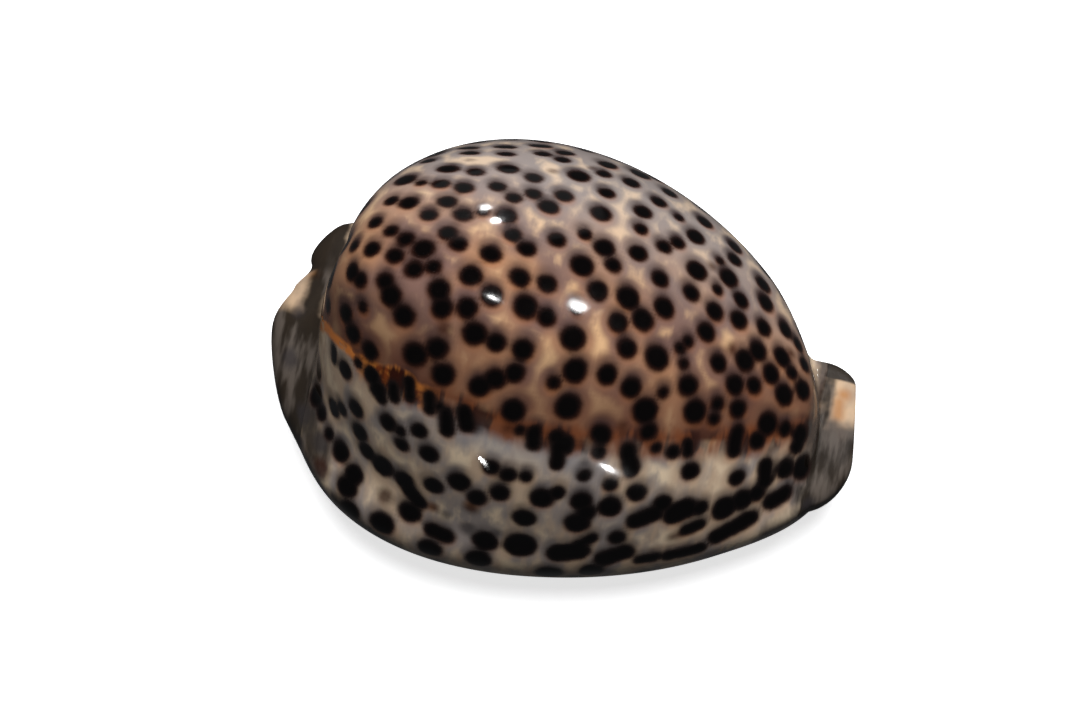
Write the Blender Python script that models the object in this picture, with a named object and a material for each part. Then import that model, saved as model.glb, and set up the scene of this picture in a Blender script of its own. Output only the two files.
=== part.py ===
"""A tiger cowrie shell, lying on its base with the toothed slit underneath.

x runs from the blunt back end, where the spire is buried, to the narrow front end.
y runs from the outer lip's side (-) to the inner lip's side (+), and z is up from the base.
Each cross-section is a thick letter C that opens downwards at the slit, so the shell is
one hollow piece that opens along its whole length.
"""
import bmesh
import bpy
import numpy as np

MM = 0.001
OUTER, INNER = 0, 1

# Limits that keep a sine and a divisor off zero
NEARLY_ONE = 0.99999
SMALLEST_SHARE = 0.001

# The two tips, and the height above the base of the line that the sections turn round
BACK_TIP = -48.9 * MM
FRONT_TIP = 48.1 * MM
CORE_HEIGHT = 11.0 * MM

# The line of the slit in plan, which bends to the inner lip's side towards both ends
SLIT_Y = {"back": 7.3 * MM, "middle": -0.3 * MM, "front": 4.3 * MM}
SLIT_HALF_WIDTH = {"back": 2.8 * MM, "middle": 3.5 * MM, "front": 4.0 * MM}

# The body whorl, a domed egg; a pair gives the outer lip's side first. Fullness under 1
# makes an outline squarer than an ellipse, lean is how much fatter the egg is at its back,
# and a roundness under 2 makes a section slope more than an ellipse.
WHORL_BACK = -39.9 * MM
WHORL_FRONT = 42.4 * MM
WHORL_TOP = 50.0 * MM
REACH = (29.3 * MM, 40.7 * MM)
FULLNESS = (0.7, 1.15)
LEAN = (0.1, 0.13)
TOP_FULLNESS = 0.55
TOP_LEAN = 0.51
TOP_ROUNDNESS = (1.6, 2.1)
UNDERSIDE_ROUNDNESS = 2.8
UNDERSIDE_DEPTH = 12.4 * MM

# The callus, a low thick rim that runs out past the whorl as a spout at each end. On the
# outer lip's side it also swells between the tips, and it joins the whorl more softly
# towards them; the blend is how far round from the top that softer join takes over.
CALLUS_REACH_BACK = (28.1 * MM, 25.7 * MM)
CALLUS_REACH_FRONT = (13.6 * MM, 13.0 * MM)
CALLUS_SWELL = (6.1 * MM, 0.0)
SWELL_FULLNESS = 0.35
SWELL_LEAN = 0.23
CALLUS_TOP = {"back": 21.3 * MM, "front": 14.6 * MM}
CALLUS_TAPER = {"back": 0.38, "front": 0.16}
CALLUS_VANISHES = 50.6 * MM
CALLUS_DEPTH = 10.5 * MM
CALLUS_ROUNDNESS = 2.5
OUTER_JOIN_SHARPNESS = {"back": 2.2, "middle": 7.4, "front": 2.2}
INNER_JOIN_SHARPNESS = 9.0
JOIN_BLEND = 0.6

# How the spouts are finished: their slant in plan, how far back the inner lip's half is set,
# the notch over the back canal and the heights it starts and is full at, the rounded rim,
# and how far the tips turn up off the ground
SPOUT_START = 30.0 * MM
BACK_SLANT = -0.04
FRONT_SLANT = 0.13
FAR_LIP_SETBACK = 3.7 * MM
FAR_LIP_STARTS = -0.6 * MM
FAR_LIP_ENDS = 4.4 * MM
BACK_NOTCH = 2.8 * MM
NOTCH_HALF_WIDTH = 3.9 * MM
NOTCH_STARTS = 4.0 * MM
NOTCH_FULL = 9.0 * MM
RIM_RADIUS = 5.0 * MM
TIP_LIFT = 2.2 * MM

# The wall round the hollow, and the canal that the hollow narrows to in each spout
SIDE_WALL = 3.6 * MM
TOP_WALL = 2.3 * MM
END_WALL = 5.0 * MM
HOLLOW_FLOOR = 6.6 * MM
CANAL_ROOF = {"back": 14.0 * MM, "front": 12.3 * MM}
CANAL_JOIN_SHARPNESS = 5.0

# The rounded lips beside the slit, which slope up from the ground towards it
LIP_RADIUS = 3.0 * MM
LIP_TOP = 4.4 * MM
LIP_RISE = 1.7 * MM
LIP_SLOPE_WIDTH = 8.5 * MM

# The teeth, ridges that cross both lips
TEETH = 24
TEETH_START = -36.0 * MM
TEETH_END = 36.0 * MM
TOOTH_HEIGHT = (1.0 * MM, 0.8 * MM)
TOOTH_FADE = 4.5 * MM

# The mesh: rings per tooth and per tip, and points round the outside, which the two lips
# and the hollow match together
RINGS_PER_TOOTH = 2
RINGS_PER_JOIN = 5
RINGS_PER_RIM = 5
RIM_LEFT_OPEN = 0.12
TOP_POINTS = 6
MARGIN_POINTS = 8
BASE_POINTS = 4
MARGIN_STARTS = 0.45
MARGIN_ENDS = 0.85
LIP_POINTS = 4

COLOUR = (0.45, 0.30, 0.20, 1.0)
ROUGHNESS = 0.12


def ramp(low, high, value):
    """A smooth step from 0 at low to 1 at high."""
    share = np.clip((value - low) / (high - low), 0.0, 1.0)
    return share * share * (3.0 - 2.0 * share)


def lengthwise(ends, x):
    """A value that goes smoothly from the back tip to the front tip."""
    share = ramp(BACK_TIP, FRONT_TIP, x)
    return ends["back"] * (1.0 - share) + ends["front"] * share


def bowed(values, x):
    """A value that curves away from its middle one towards the ones at the tips."""
    end = np.where(x < 0.0, values["back"], values["front"])
    return values["middle"] + (end - values["middle"]) * (x / FRONT_TIP) ** 2


def per_side(pair, across):
    """The outer lip's value where across points to its side, or else the inner lip's."""
    return np.where(across < 0.0, pair[OUTER], pair[INNER])


def egg(turn, fullness, lean):
    """An egg's half-width at an angle from its back tip, 0 to pi."""
    return np.sin(turn) ** fullness * (1.0 + lean * np.cos(turn)) / (1.0 + lean * lean / 2.0)


def oval(across, up, half_width, half_height, roundness):
    """The distance to an oval's edge along a direction with shares across and up."""
    total = np.abs(across / half_width) ** roundness + np.abs(up / half_height) ** roundness
    return total ** (-1.0 / roundness)


def joined(first, second, sharpness):
    """The larger of two distances, with a smooth fillet where they are alike."""
    largest = np.maximum(first, second)
    total = (first / largest) ** sharpness + (second / largest) ** sharpness
    return largest * total ** (1.0 / sharpness)


def turn_along(back, front, x):
    """The angle of x on the way from a back end to a front end, 0 to pi."""
    middle, half = (back + front) / 2.0, (front - back) / 2.0
    return np.arccos(np.clip((middle - x) / half, -NEARLY_ONE, NEARLY_ONE))


def whorl_distance(x, across, up, end_wall, side_wall, top_wall, depth):
    """The distance from the core line to the body whorl, or to the hollow inside it."""
    turn = turn_along(WHORL_BACK + end_wall, WHORL_FRONT - end_wall, x)
    reach = per_side(REACH, across) - side_wall
    width = reach * egg(turn, per_side(FULLNESS, across), per_side(LEAN, across))
    top = (WHORL_TOP - top_wall - CORE_HEIGHT) * egg(turn, TOP_FULLNESS, TOP_LEAN)
    height = np.where(up > 0.0, top, depth * np.sqrt(np.sin(turn)))
    roundness = np.where(up > 0.0, per_side(TOP_ROUNDNESS, across), UNDERSIDE_ROUNDNESS)
    return oval(across, up, width, height, roundness)


def outside_distance(x, across, up):
    """The distance from the core line to the outside of the shell."""
    whorl = whorl_distance(x, across, up, 0.0, 0.0, 0.0, UNDERSIDE_DEPTH)
    taper = (1.0 - (x / CALLUS_VANISHES) ** 2) ** lengthwise(CALLUS_TAPER, x)
    back = per_side(CALLUS_REACH_BACK, across)
    front = per_side(CALLUS_REACH_FRONT, across)
    bulge = egg(turn_along(BACK_TIP, FRONT_TIP, x), SWELL_FULLNESS, SWELL_LEAN)
    swell = per_side(CALLUS_SWELL, across) * bulge
    width = (lengthwise({"back": back, "front": front}, x) + swell) * taper
    top = (lengthwise(CALLUS_TOP, x) - CORE_HEIGHT) * taper
    height = np.where(up > 0.0, top, CALLUS_DEPTH)
    callus = oval(across, up, width, height, CALLUS_ROUNDNESS)
    near_side = ramp(0.0, JOIN_BLEND, -across)
    softening = (INNER_JOIN_SHARPNESS - bowed(OUTER_JOIN_SHARPNESS, x)) * near_side
    return joined(whorl, callus, INNER_JOIN_SHARPNESS - softening)


def hollow_distance(x, across, up):
    """The distance from the core line to the wall of the hollow or of the canal."""
    depth = CORE_HEIGHT - HOLLOW_FLOOR
    hollow = whorl_distance(x, across, up, END_WALL, SIDE_WALL, TOP_WALL, depth)
    slit = bowed(SLIT_HALF_WIDTH, x)
    roof = oval(across, up, slit, lengthwise(CANAL_ROOF, x) - CORE_HEIGHT, CALLUS_ROUNDNESS)
    sides = slit / np.maximum(np.abs(across), SMALLEST_SHARE)
    canal = np.where(up > 0.0, roof, sides)
    return joined(hollow, canal, CANAL_JOIN_SHARPNESS)


def ground_gap(x, off):
    """How far the base clears the ground at a distance off the slit's middle line."""
    slit = bowed(SLIT_HALF_WIDTH, x)
    return LIP_RISE * (1.0 - ramp(slit, slit + LIP_SLOPE_WIDTH, np.abs(off)))


def outside_arc(x, share):
    """Off the slit line and height, for shares from -1 at the outer lip to 1 at the inner."""
    edge = bowed(SLIT_HALF_WIDTH, x) + LIP_RADIUS
    last = np.pi - np.arctan2(edge, CORE_HEIGHT - ground_gap(x, edge))
    across, up = np.sin(share * last), np.cos(share * last)
    distance = outside_distance(x, across, up)
    off, height = distance * across, CORE_HEIGHT + distance * up
    return off, np.maximum(height, ground_gap(x, off))


def hollow_arc(x, share):
    """The same for the wall of the hollow and the canal."""
    slit = bowed(SLIT_HALF_WIDTH, x)
    last = np.pi - np.arctan2(slit, CORE_HEIGHT - LIP_TOP)
    across, up = np.sin(share * last), np.cos(share * last)
    distance = hollow_distance(x, across, up)
    return distance * across, CORE_HEIGHT + distance * up


def lip_arc(x, side, share):
    """The rounded edge of a lip, for shares from 0 at the base to 1 in the slit."""
    slit = bowed(SLIT_HALF_WIDTH, x)
    foot = ground_gap(x, slit + LIP_RADIUS)
    turn = share * np.pi / 2.0
    off = slit + LIP_RADIUS * (1.0 - np.sin(turn))
    height = foot + (LIP_TOP - foot) * (1.0 - np.cos(turn))
    return side * off, height


def loop_shares():
    """The shares that the points have round the outside and back round the hollow."""
    top = np.linspace(0.0, MARGIN_STARTS, TOP_POINTS, endpoint=False)
    margin = np.linspace(MARGIN_STARTS, MARGIN_ENDS, MARGIN_POINTS, endpoint=False)
    base = np.linspace(MARGIN_ENDS, 1.0, BASE_POINTS)
    side = np.concatenate([top, margin, base])
    outside = np.concatenate([-side[:0:-1], side])
    hollow = np.linspace(1.0, -1.0, len(outside) - 2 * LIP_POINTS)
    return outside, hollow


def section(x):
    """The thick C at x, as a closed loop: the outside, then a lip, the hollow and a lip."""
    outside, hollow = loop_shares()
    lip = np.arange(1, LIP_POINTS + 1) / (LIP_POINTS + 1.0)
    arcs = [
        outside_arc(x, outside),
        lip_arc(x, 1.0, lip),
        hollow_arc(x, hollow),
        lip_arc(x, -1.0, lip[::-1]),
    ]
    off = np.concatenate([arc[0] for arc in arcs])
    height = np.concatenate([arc[1] for arc in arcs])
    return off, height


def middle_of_wall(x):
    """The line inside the thick C that its rounded end closes on, point for point."""
    outside, hollow = loop_shares()
    shares = np.concatenate([outside, np.ones(LIP_POINTS), hollow, -np.ones(LIP_POINTS)])
    outer_off, outer_height = outside_arc(x, shares)
    inner_off, inner_height = hollow_arc(x, shares)
    return (outer_off + inner_off) / 2.0, (outer_height + inner_height) / 2.0


def with_teeth(x, off, height):
    """Push a section's points out round the lips where a tooth crosses them."""
    slit = bowed(SLIT_HALF_WIDTH, x)
    pitch = (TEETH_END - TEETH_START) / TEETH
    phase = (x - TEETH_START) / pitch % 1.0
    crest = 1.0 - abs(2.0 * phase - 1.0)
    crest *= ramp(TEETH_START, TEETH_START + pitch, x) * ramp(-TEETH_END, pitch - TEETH_END, -x)
    side = np.sign(off)
    from_lip = np.abs(off) - (slit + LIP_RADIUS)
    above_lip = height - LIP_TOP
    reach = np.hypot(from_lip, above_lip)
    tall = per_side(TOOTH_HEIGHT, off) * crest
    push = tall * (1.0 - ramp(LIP_RADIUS, LIP_RADIUS + TOOTH_FADE, reach))
    new_off = off + push * side * from_lip / np.maximum(reach, MM)
    new_height = height + push * above_lip / np.maximum(reach, MM)
    return new_off, np.maximum(new_height, 0.0)


def ring(x, roundness):
    """One ring of the mesh; roundness goes from 1 along the shell to nearly 0 at a tip."""
    off, height = with_teeth(x, *section(x))
    middle_off, middle_height = middle_of_wall(x)
    off = middle_off + (off - middle_off) * roundness
    height = middle_height + (height - middle_height) * roundness
    back, front = ramp(SPOUT_START, FRONT_TIP, -x), ramp(SPOUT_START, FRONT_TIP, x)
    notch = np.exp(-(off / NOTCH_HALF_WIDTH) ** 2) * ramp(NOTCH_STARTS, NOTCH_FULL, height)
    far_lip = ramp(FAR_LIP_STARTS, FAR_LIP_ENDS, off)
    back_shift = BACK_SLANT * off + FAR_LIP_SETBACK * far_lip + BACK_NOTCH * notch
    along = x + back * back_shift - front * FRONT_SLANT * off
    lift = TIP_LIFT * np.clip((abs(x) - SPOUT_START) / (FRONT_TIP - SPOUT_START), 0.0, 1.0) ** 2
    return np.stack([along, bowed(SLIT_Y, x) + off, height + lift], axis=1)


def stations():
    """Where the rings are along the shell, each with its roundness."""
    turn = np.linspace(0.0, np.arccos(RIM_LEFT_OPEN), RINGS_PER_RIM + 1)[1:]
    rim = [(RIM_RADIUS * np.sin(angle), np.cos(angle)) for angle in turn]
    back_rim, front_rim = BACK_TIP + RIM_RADIUS, FRONT_TIP - RIM_RADIUS
    teeth = np.linspace(TEETH_START, TEETH_END, TEETH * RINGS_PER_TOOTH + 1)
    into_whorl = np.arange(RINGS_PER_JOIN) ** 2 / RINGS_PER_JOIN ** 2
    back = [back_rim, *(WHORL_BACK + (TEETH_START - WHORL_BACK) * into_whorl)]
    front = [*(WHORL_FRONT + (TEETH_END - WHORL_FRONT) * into_whorl[::-1]), front_rim]
    rings = [(back_rim - reach, roundness) for reach, roundness in rim[::-1]]
    rings += [(x, 1.0) for x in (*back, *teeth, *front)]
    rings += [(front_rim + reach, roundness) for reach, roundness in rim]
    return rings


def shell_mesh():
    """Join the rings into one closed skin, and set the shell down on its base."""
    rings = np.array([ring(x, roundness) for x, roundness in stations()])
    low = rings.min(axis=(0, 1))
    high = rings.max(axis=(0, 1))
    rings -= [(low[0] + high[0]) / 2.0, (low[1] + high[1]) / 2.0, low[2]]
    mesh = bmesh.new()
    verts = [[mesh.verts.new(point) for point in points] for points in rings]
    count = len(verts[0])
    for first, second in zip(verts, verts[1:]):
        for index in range(count):
            after = (index + 1) % count
            mesh.faces.new((first[index], first[after], second[after], second[index]))
    for tip, turned in ((verts[0], True), (verts[-1], False)):
        for index in range(count // 2 - 1):
            across = count - 1 - index
            corners = [tip[index], tip[index + 1], tip[across - 1], tip[across]]
            mesh.faces.new(corners[::-1] if turned else corners)
    bmesh.ops.recalc_face_normals(mesh, faces=mesh.faces)
    for face in mesh.faces:
        face.smooth = True
    data = bpy.data.meshes.new("shell")
    mesh.to_mesh(data)
    mesh.free()
    return data


def shell_material():
    """A glossy brown that stands for the spotted glaze."""
    material = bpy.data.materials.new("cowrie glaze")
    material.use_nodes = True
    shader = material.node_tree.nodes["Principled BSDF"]
    shader.inputs["Base Color"].default_value = COLOUR
    shader.inputs["Roughness"].default_value = ROUGHNESS
    shader.inputs["Metallic"].default_value = 0.0
    return material


for old in list(bpy.data.objects):
    bpy.data.objects.remove(old)

shell = bpy.data.objects.new("shell", shell_mesh())
shell.data.materials.append(shell_material())
bpy.context.scene.collection.objects.link(shell)
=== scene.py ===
"""The looks of a tiger cowrie shell: one fine skin with its glaze, on a pale floor.

The skin has the same sections as the plain solid that it stands for, with many more rings
and points, and with its crest a little smoother. Its markings are strokes, each with a place
in the photo's picture and a radius. They are laid on the skin along the camera's sight lines,
and what the photo doesn't show is filled with scattered spots. Each mark and area becomes a
field, a number stored for every point, and the glaze works its colours out from the fields.
"""
from collections import namedtuple

import bmesh
import bpy
import numpy as np
from mathutils import Matrix, Vector
from mathutils.bvhtree import BVHTree


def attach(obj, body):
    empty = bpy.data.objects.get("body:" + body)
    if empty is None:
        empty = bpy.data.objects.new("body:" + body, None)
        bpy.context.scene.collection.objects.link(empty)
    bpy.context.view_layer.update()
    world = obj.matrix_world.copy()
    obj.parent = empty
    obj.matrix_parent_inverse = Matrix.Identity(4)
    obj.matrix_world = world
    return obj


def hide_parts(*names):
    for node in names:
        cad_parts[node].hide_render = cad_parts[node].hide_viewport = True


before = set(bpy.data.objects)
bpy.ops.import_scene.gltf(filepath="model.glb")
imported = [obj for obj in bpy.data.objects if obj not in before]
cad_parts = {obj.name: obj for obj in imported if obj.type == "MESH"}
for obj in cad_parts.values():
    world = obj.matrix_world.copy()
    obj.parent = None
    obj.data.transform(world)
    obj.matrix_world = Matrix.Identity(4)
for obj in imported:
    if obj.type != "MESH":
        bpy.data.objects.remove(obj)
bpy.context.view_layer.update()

MM = 0.001
OUTER, INNER = 0, 1

# Limits that keep a sine and the divisors off zero
NEARLY_ONE = 0.99999
SMALLEST_SHARE = 0.001
TINY = 1e-12

# The two tips, and the height above the base of the line that the sections turn round
BACK_TIP = -48.9 * MM
FRONT_TIP = 48.1 * MM
CORE_HEIGHT = 11.0 * MM

# The line of the slit in plan, which bends to the inner lip's side towards both ends
SLIT_Y = {"back": 7.3 * MM, "middle": -0.3 * MM, "front": 4.3 * MM}
SLIT_HALF_WIDTH = {"back": 2.8 * MM, "middle": 3.5 * MM, "front": 4.0 * MM}

# The body whorl, a domed egg; a pair gives the outer lip's side first
WHORL_BACK = -39.9 * MM
WHORL_FRONT = 42.4 * MM
WHORL_TOP = 50.0 * MM
REACH = (29.3 * MM, 40.7 * MM)
FULLNESS = (0.7, 1.15)
LEAN = (0.1, 0.13)
TOP_FULLNESS = 0.55
TOP_LEAN = 0.51
TOP_ROUNDNESS = (1.6, 2.1)
UNDERSIDE_ROUNDNESS = 2.8
UNDERSIDE_DEPTH = 12.4 * MM
# How far off the crest, as a sine, the outer lip's side reaches its own roundness
CREST_BLEND = 0.25

# The callus, a low thick rim that runs out past the whorl as a spout at each end
CALLUS_REACH_BACK = (28.1 * MM, 25.7 * MM)
CALLUS_REACH_FRONT = (13.6 * MM, 13.0 * MM)
CALLUS_SWELL = (6.1 * MM, 0.0)
SWELL_FULLNESS = 0.35
SWELL_LEAN = 0.23
CALLUS_TOP = {"back": 21.3 * MM, "front": 14.6 * MM}
CALLUS_TAPER = {"back": 0.38, "front": 0.16}
CALLUS_VANISHES = 50.6 * MM
CALLUS_DEPTH = 10.5 * MM
CALLUS_ROUNDNESS = 2.5
OUTER_JOIN_SHARPNESS = {"back": 2.2, "middle": 7.4, "front": 2.2}
INNER_JOIN_SHARPNESS = 9.0
JOIN_BLEND = 0.6

# How the spouts are finished
SPOUT_START = 30.0 * MM
BACK_SLANT = -0.04
FRONT_SLANT = 0.13
FAR_LIP_SETBACK = 3.7 * MM
FAR_LIP_STARTS = -0.6 * MM
FAR_LIP_ENDS = 4.4 * MM
BACK_NOTCH = 2.8 * MM
NOTCH_HALF_WIDTH = 3.9 * MM
NOTCH_STARTS = 4.0 * MM
NOTCH_FULL = 9.0 * MM
RIM_RADIUS = 5.0 * MM
TIP_LIFT = 2.2 * MM

# The wall round the hollow, and the canal that the hollow narrows to in each spout
SIDE_WALL = 3.6 * MM
TOP_WALL = 2.3 * MM
END_WALL = 5.0 * MM
HOLLOW_FLOOR = 6.6 * MM
CANAL_ROOF = {"back": 14.0 * MM, "front": 12.3 * MM}
CANAL_JOIN_SHARPNESS = 5.0

# The rounded lips beside the slit, and the teeth that cross them
LIP_RADIUS = 3.0 * MM
LIP_TOP = 4.4 * MM
LIP_RISE = 1.7 * MM
LIP_SLOPE_WIDTH = 8.5 * MM
TEETH = 24
TEETH_START = -36.0 * MM
TEETH_END = 36.0 * MM
TOOTH_HEIGHT = (1.0 * MM, 0.8 * MM)
TOOTH_FADE = 4.5 * MM
TOOTH_NARROWNESS = 1.4

# The skin's rings and points
RINGS_PER_TOOTH = 6
RINGS_PER_JOIN = 14
RINGS_PER_RIM = 12
RIM_LEFT_OPEN = 0.06
TOP_POINTS = 56
MARGIN_POINTS = 46
BASE_POINTS = 23
MARGIN_STARTS = 0.45
MARGIN_ENDS = 0.85
LIP_POINTS = 10

# The camera: where it looks, from which side and how far away
AIM = Vector((-3.83, -2.28, 19.0)) * MM
AZIMUTH = np.radians(12.2)
ELEVATION = np.radians(69.03)
DISTANCE = 413.0 * MM
LENS = 85.0
SENSOR = 36.0
CLIP_START = 10.0 * MM
IMAGE_WIDTH = 1080.0
IMAGE_MIDDLE = (540.0, 360.5)
FOCAL_PIXELS = LENS / SENSOR * IMAGE_WIDTH
BACK = Vector((
    np.sin(AZIMUTH) * np.cos(ELEVATION), -np.cos(AZIMUTH) * np.cos(ELEVATION), np.sin(ELEVATION)
))
RIGHT = Vector((np.cos(AZIMUTH), np.sin(AZIMUTH), 0.0))
UP = BACK.cross(RIGHT)
EYE = AIM + BACK * DISTANCE

# Markings, in the photo's pixels: a round spot is (x, y, radius), and a long one is
# (x, y, x, y, radius), from one end to the other. First the spots of the dome's far edge
EDGE_SPOTS = [
    (405, 180, 13), (391, 201, 7.5), (428, 161, 9), (468, 148, 12), (505, 147, 12),
    (541, 146, 14), (565, 153, 12), (608, 165, 12), (640, 174, 14), (670, 193, 10),
    (705, 222, 11), (735, 247, 10), (763, 284, 10), (786, 330, 9.5), (798, 344, 8),
    (805, 365, 8),
]
# The spots of the dome, from the far side to the mantle line
DOME_SPOTS = [
    (470, 153, 10), (506, 154, 9.5), (543, 154, 10), (563, 160, 9.5), (604, 174, 8.5),
    (632, 183, 10.5), (659, 202, 9.5), (679, 218, 5.5), (448, 169, 11.5), (476, 172, 8.5),
    (508, 169, 11.5), (534, 178, 10), (579, 176, 13), (607, 193, 9), (643, 212, 11),
    (421, 183, 5), (441, 184, 9), (464, 188, 9.5), (498, 187, 8.5), (514, 198, 7.5),
    (534, 194, 8.5), (564, 196, 10), (549, 207, 11), (601, 214, 12), (641, 229, 7.5),
    (447, 202, 9.5), (408, 203, 10.5), (429, 215, 8.5), (463, 215, 9.5), (483, 212, 5),
    (507, 216, 10), (585, 234, 7), (696, 237, 12), (375, 223, 8), (391, 231, 8),
    (406, 239, 9), (448, 233, 9.5), (458, 244, 9), (513, 235, 9), (527, 249, 9.5),
    (557, 240, 9.5), (604, 248, 12), (638, 253, 10.5), (664, 247, 9), (678, 243, 8.5),
    (354, 246, 7.5), (372, 249, 10), (395, 256, 9.5), (423, 249, 12), (491, 254, 10.5),
    (414, 270, 10), (433, 267, 7.5), (720, 261, 5), (735, 260, 9.5), (697, 271, 12.5),
    (729, 278, 12), (582, 266, 13), (613, 265, 9), (660, 279, 9.5), (352, 272, 10),
    (360, 280, 8.5), (385, 281, 9), (471, 276, 11.5), (520, 278, 10.5), (547, 284, 10),
    (439, 290, 11), (391, 296, 11.5), (492, 296, 11), (598, 291, 11), (628, 298, 12.5),
    (691, 293, 9), (718, 290, 5.5), (741, 300, 9), (766, 303, 10.5), (664, 308, 11.5),
    (715, 312, 10), (576, 308, 6), (328, 306, 7), (346, 314, 10), (363, 307, 5.5),
    (404, 316, 12), (442, 308, 11), (467, 308, 10.5), (526, 307, 13), (547, 317, 9.5),
    (618, 323, 10), (643, 320, 12), (739, 320, 10), (764, 328, 9), (706, 332, 10),
    (353, 334, 10.5), (475, 334, 12.5), (573, 338, 13.5), (496, 343, 9), (523, 350, 11),
    (370, 351, 10), (415, 355, 13), (437, 349, 11.5), (627, 348, 10.5), (657, 358, 14),
    (688, 342, 5.5), (680, 349, 5.5), (684, 364, 5.5), (758, 351, 10.5), (782, 357, 10.5),
    (718, 363, 9.5), (745, 361, 12), (771, 374, 10.5), (792, 373, 7), (443, 375, 12.5),
    (480, 387, 11), (495, 379, 11), (515, 373, 10), (554, 383, 6.5), (575, 371, 13),
    (607, 375, 10.5), (631, 388, 10.5), (663, 393, 5.5), (688, 386, 11), (735, 385, 11),
    (754, 386, 9), (784, 395, 11.5), (803, 390, 11), (513, 411, 12.5), (568, 407, 14),
    (645, 411, 14), (648, 432, 9), (695, 412, 13), (717, 404, 7), (714, 419, 6),
    (738, 409, 9), (768, 424, 12), (600, 433, 10), (602, 437, 9), (599, 452, 6),
    (534, 432, 534, 444, 7), (563, 443, 9), (556, 437, 8),
]
# The strokes that hang from the mantle line
LINE_SPOTS = [
    (334, 350, 334, 360, 4), (358, 363, 4), (372, 376, 10), (378, 390, 10), (381, 398, 6),
    (393, 386, 394, 398, 5), (409, 381, 410, 398, 5), (429, 396, 430, 410, 5),
    (439, 407, 4), (446, 413, 447, 431, 6.5), (464, 412, 467, 426, 7.5), (520, 430, 5),
    (558, 447, 557, 464, 6), (567, 441, 567, 449, 5), (628, 450, 631, 470, 8),
    (656, 448, 5), (673, 452, 7), (688, 444, 688, 452, 5), (736, 438, 734, 450, 8),
    (738, 432, 7), (757, 441, 9), (785, 429, 8), (800, 435, 11), (797, 446, 8),
]
# The spots of the near flank, larger towards the outer lip
FLANK_SPOTS = [
    (319, 369, 11), (345, 370, 10), (317, 396, 12), (322, 413, 8), (334, 408, 10),
    (342, 409, 7), (356, 409, 10), (388, 423, 9.5), (400, 431, 5), (402, 445, 7),
    (419, 431, 8.5), (360, 433, 9.5), (367, 451, 9.5), (383, 466, 13), (404, 480, 11),
    (341, 451, 11.5), (329, 434, 6), (354, 474, 11), (347, 487, 12), (410, 512, 12),
    (382, 524, 14), (350, 510, 12), (429, 454, 10), (434, 486, 10), (459, 482, 12),
    (477, 498, 9.5), (500, 493, 9.5), (491, 468, 8), (508, 475, 8), (526, 477, 5.5),
    (542, 498, 12), (557, 493, 7.5), (524, 518, 11.5), (584, 476, 6.5), (610, 485, 6.5),
    (637, 493, 10), (690, 471, 9.5), (409, 489, 419, 502, 8), (433, 530, 446, 536, 8.5),
    (485, 541, 13), (520, 545, 17), (478, 559, 13), (581, 501, 11), (586, 513, 9),
    (577, 523, 13), (610, 507, 12), (617, 538, 8.5), (558, 553, 578, 551, 12),
    (580, 544, 592, 538, 5), (604, 559, 624, 552, 10), (549, 573, 13), (591, 571, 12),
    (636, 521, 654, 514, 9.5), (663, 503, 9), (675, 514, 686, 509, 13), (700, 508, 8),
    (737, 478, 8), (766, 465, 765, 481, 8), (785, 469, 11), (802, 467, 13),
    (724, 508, 14), (742, 500, 12), (757, 493, 9), (771, 502, 785, 493, 8.5),
    (716, 537, 750, 518, 8.5), (686, 530, 700, 524, 5), (640, 560, 655, 557, 5),
    (668, 556, 700, 548, 6), (430, 549, 12),
]
# Small brown spots, and the soft ones that lie deep in the glaze
BROWN_SPOTS = [
    (712, 266, 4.5), (444, 328, 5.5), (732, 349, 5.5), (508, 428, 4), (583, 444, 5),
    (385, 496, 8.5), (321, 469, 12), (471, 508, 7), (434, 507, 4), (592, 168, 3),
    (470, 160, 3), (553, 171, 4), (623, 426, 4), (791, 353, 4.5), (672, 537, 692, 530, 3.5),
    (815, 380, 9),
]
SOFT_SPOTS = [
    (445, 515, 7), (467, 528, 9), (627, 443, 8), (320, 442, 12), (300, 442, 8),
    (302, 415, 12), (291, 358, 11), (298, 311, 6), (833, 424, 5), (497, 533, 5),
    (808, 505, 8), (585, 462, 4), (476, 430, 6),
]
# The mantle line, from the back to the front, and how many columns apart it is laid down
MANTLE_LINE = [
    (320, 320), (328, 330), (337, 340), (345, 347), (353, 353), (360, 360), (372, 366),
    (400, 375), (412, 383), (418, 388), (433, 394), (442, 397), (462, 402), (480, 414),
    (505, 424), (520, 430), (580, 437), (640, 440), (740, 440), (780, 436), (820, 425),
]
LINE_STEP = 6
# Soft dark patches on the margins and spouts, partly the shell's own dark streaks and partly
# painted shade, and rusty stains
DARK_AND_SHADE_PATCHES = [
    (286, 350, 288, 400, 20), (300, 400, 318, 450, 16), (313, 326, 312, 380, 9),
    (292, 440, 330, 505, 12), (335, 500, 400, 548, 7), (814, 378, 813, 430, 8),
    (824, 455, 826, 495, 14), (770, 532, 815, 506, 9),
]
STAIN_PATCHES = [
    (844, 395, 6), (839, 402, 838, 416, 5), (316, 274, 6), (471, 505, 6), (432, 507, 5),
    (842, 434, 5),
]

# A spot's solid part is a share of its soft outline, and near spots melt together over this
# many millimetres. High in the picture spots are flatter from top to bottom, by a factor that
# depends on the row
SOLID_PART = 0.84
MELT = 0.22
SQUASH_ROWS = (148.0, 156.0, 176.0, 200.0, 235.0, 255.0, 276.0, 295.0)
SQUASH = (2.4, 1.8, 1.4, 1.3, 1.25, 1.17, 1.07, 1.0)
# Each spot has a dark shade uphill of it in the glaze, and a warm glow downhill
SHADE_SHIFT = 1.0 * MM
SHADE_REACH = 1.6 * MM
SHADE_STRENGTH = (0.8, 1.0)
GLOW_SHIFT = -0.6 * MM
GLOW_REACH = 0.9 * MM
GLOW_STRENGTH = (0.0, 0.45)
# How far round a stroke the skin is searched, and the distance in millimetres that stands
# for far from every mark
NEARBY = 6.0 * MM
FAR_OFF = 20.0
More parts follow.
